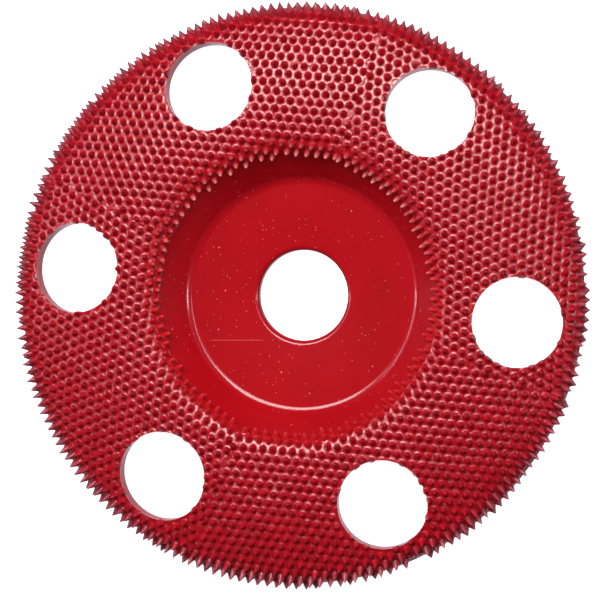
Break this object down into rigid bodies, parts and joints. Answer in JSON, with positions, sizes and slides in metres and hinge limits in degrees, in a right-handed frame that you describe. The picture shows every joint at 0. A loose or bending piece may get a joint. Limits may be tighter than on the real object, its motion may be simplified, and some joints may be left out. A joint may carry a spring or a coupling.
{
  "type": "angle grinder carving disc",
  "caption": "Dished, round-faced carbide carving disc for an angle grinder, with see-through holes and a central spindle bore.",
  "frame": {"origin": "centre of the bore at the hub's flat back face", "axes": "+Z along the disc's axis, from the grinder towards the work; +X and +Y lie across the disc"},
  "size_m": [0.1028, 0.1028, 0.0104],
  "materials": {
    "painted_steel": "gloss red paint",
    "painted_carbide": "gloss red paint over carbide, worn at the tips"
  },
  "bodies": {
    "root": {"steel_disc": "painted_steel", "lip_teeth_1": "painted_carbide", "lip_teeth_2": "painted_carbide", "lip_teeth_3": "painted_carbide", "lip_teeth_4": "painted_carbide", "face_teeth_1": "painted_carbide", "face_teeth_2": "painted_carbide", "face_teeth_3": "painted_carbide", "face_teeth_4": "painted_carbide", "rim_teeth_1": "painted_carbide", "rim_teeth_2": "painted_carbide", "rim_teeth_3": "painted_carbide", "rim_teeth_4": "painted_carbide"}
  },
  "joints": []
}
